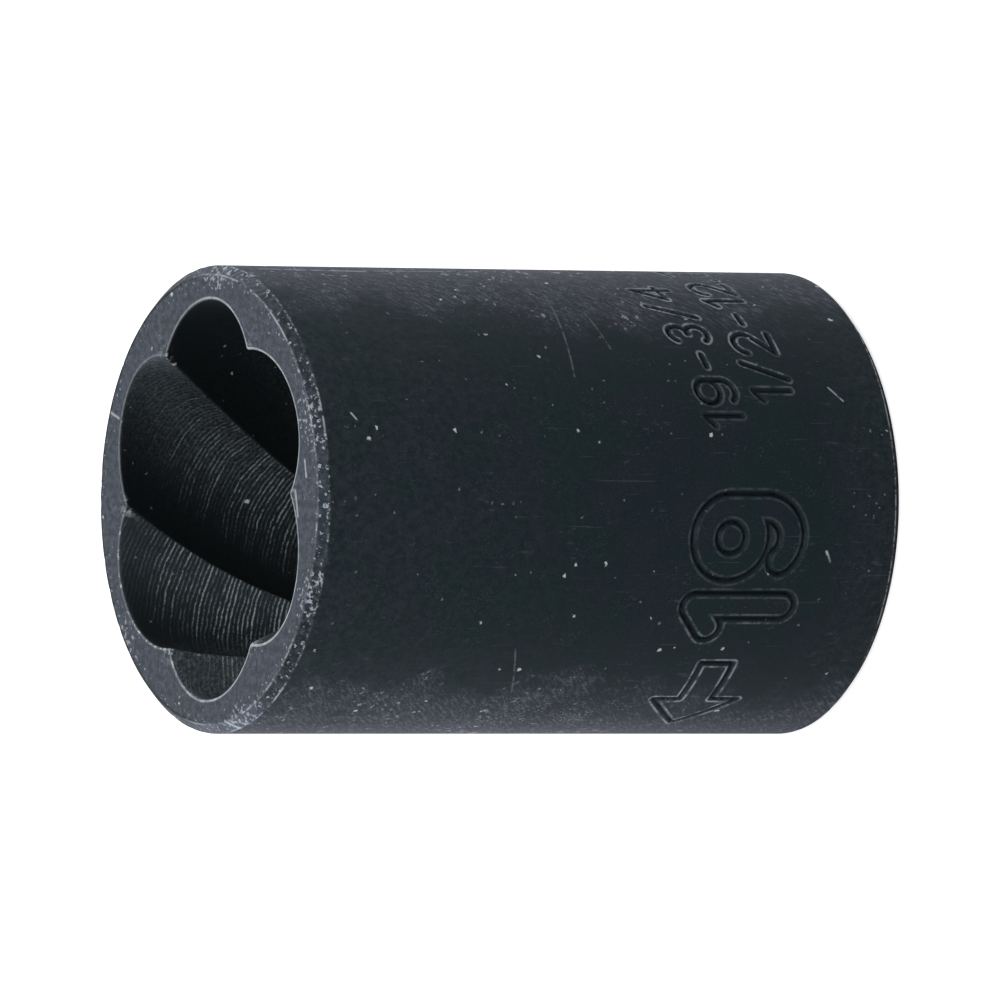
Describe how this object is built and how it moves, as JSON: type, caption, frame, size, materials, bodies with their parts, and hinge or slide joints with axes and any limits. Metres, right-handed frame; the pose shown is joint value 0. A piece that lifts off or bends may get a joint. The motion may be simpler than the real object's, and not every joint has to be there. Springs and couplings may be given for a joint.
{
  "type": "nut extractor socket",
  "caption": "Cylindrical extractor socket with six left-hand spiral flutes that taper inwards, over a half-inch female square drive, in blackened steel.",
  "frame": {"origin": "centre of the flat drive-end face, which the socket stands on", "axes": "+Z along the socket's axis from the drive end to the fluted mouth; +X square to one flat of the drive square"},
  "size_m": [0.028, 0.028, 0.04],
  "materials": {
    "blackened_steel": "satin"
  },
  "bodies": {
    "root": {"extractor_socket": "blackened_steel"}
  },
  "joints": []
}
